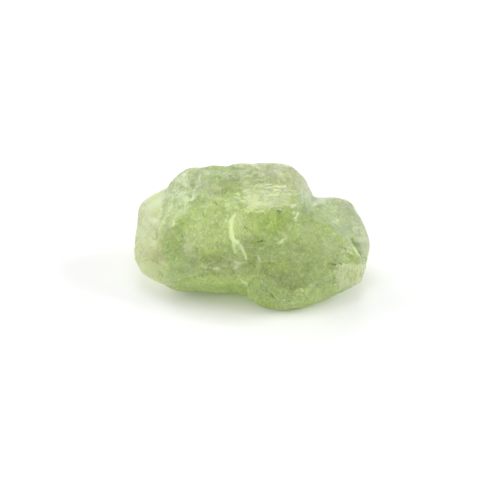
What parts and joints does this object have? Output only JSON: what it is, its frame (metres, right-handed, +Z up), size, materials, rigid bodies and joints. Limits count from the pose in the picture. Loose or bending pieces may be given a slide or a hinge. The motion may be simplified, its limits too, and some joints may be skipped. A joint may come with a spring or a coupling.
{
  "type": "rough tsavorite garnet",
  "caption": "Rough, uncut green garnet crystal fragment: frosted, see-through, with broken shell-shaped faces and worn edges, lying on a flat underside.",
  "frame": {"origin": "middle of the bounding box's underside, on the level of the flat facet that the stone lies on", "axes": "+X along the stone's length, towards its thin wing; -Y towards its scooped front; +Z up"},
  "size_m": [0.014, 0.0086, 0.0065],
  "materials": {
    "garnet": "frosted, worn skin on a see-through yellow-green crystal"
  },
  "bodies": {
    "root": {"stone": "garnet"}
  },
  "joints": []
}
